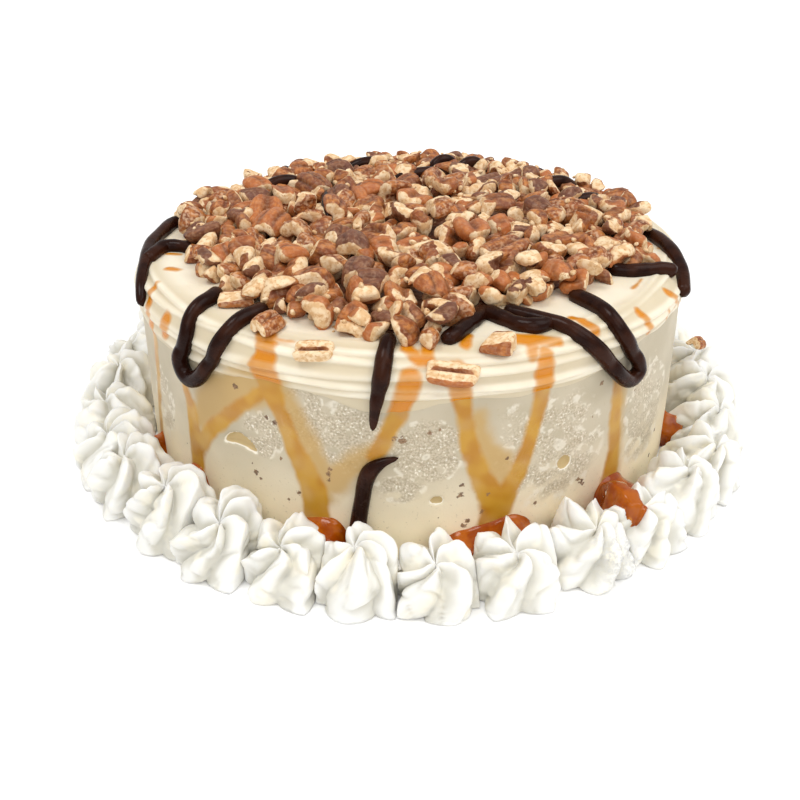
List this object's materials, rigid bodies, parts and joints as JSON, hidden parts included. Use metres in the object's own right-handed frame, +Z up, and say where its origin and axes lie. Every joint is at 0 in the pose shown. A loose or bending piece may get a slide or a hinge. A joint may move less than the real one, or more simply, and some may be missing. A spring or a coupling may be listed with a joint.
{
  "type": "ice cream cake",
  "caption": "Round ice cream cake with a frosted top, poured fudge, a heap of chopped pecans and a border of piped cream stars.",
  "frame": {"origin": "middle of the ice cream's flat underside, on the surface that the cake stands on", "axes": "+Z up, -Y toward the pictured front, +X to the right seen from the front"},
  "size_m": [0.2911, 0.2921, 0.0967],
  "materials": {
    "ice_cream": "matt frozen vanilla ice cream",
    "frosting": "smooth satin cream frosting",
    "pecan": "dry broken nut",
    "whipped_cream": "soft satin whipped cream",
    "fudge": "glossy dark fudge",
    "caramel": "glossy caramel sauce"
  },
  "bodies": {
    "root": {"ice_cream": "ice_cream", "frosting": "frosting", "pecan_heap": "pecan", "pecan_piece_1": "pecan", "pecan_piece_2": "pecan", "pecan_piece_3": "pecan", "pecan_piece_4": "pecan", "pecan_piece_5": "pecan", "pecan_piece_6": "pecan", "cream_star_01": "whipped_cream", "cream_star_02": "whipped_cream", "cream_star_03": "whipped_cream", "cream_star_04": "whipped_cream", "cream_star_05": "whipped_cream", "cream_star_06": "whipped_cream", "cream_star_07": "whipped_cream", "cream_star_08": "whipped_cream", "cream_star_09": "whipped_cream", "cream_star_10": "whipped_cream", "cream_star_11": "whipped_cream", "cream_star_12": "whipped_cream", "cream_star_13": "whipped_cream", "cream_star_14": "whipped_cream", "cream_star_15": "whipped_cream", "cream_star_16": "whipped_cream", "cream_star_17": "whipped_cream", "cream_star_18": "whipped_cream", "cream_star_19": "whipped_cream", "cream_star_20": "whipped_cream", "cream_star_21": "whipped_cream", "cream_star_22": "whipped_cream", "cream_star_23": "whipped_cream", "cream_star_24": "whipped_cream", "cream_star_25": "whipped_cream", "cream_star_26": "whipped_cream", "cream_star_27": "whipped_cream", "cream_star_28": "whipped_cream", "cream_star_29": "whipped_cream", "cream_star_30": "whipped_cream", "cream_star_31": "whipped_cream"}
  },
  "joints": []
}
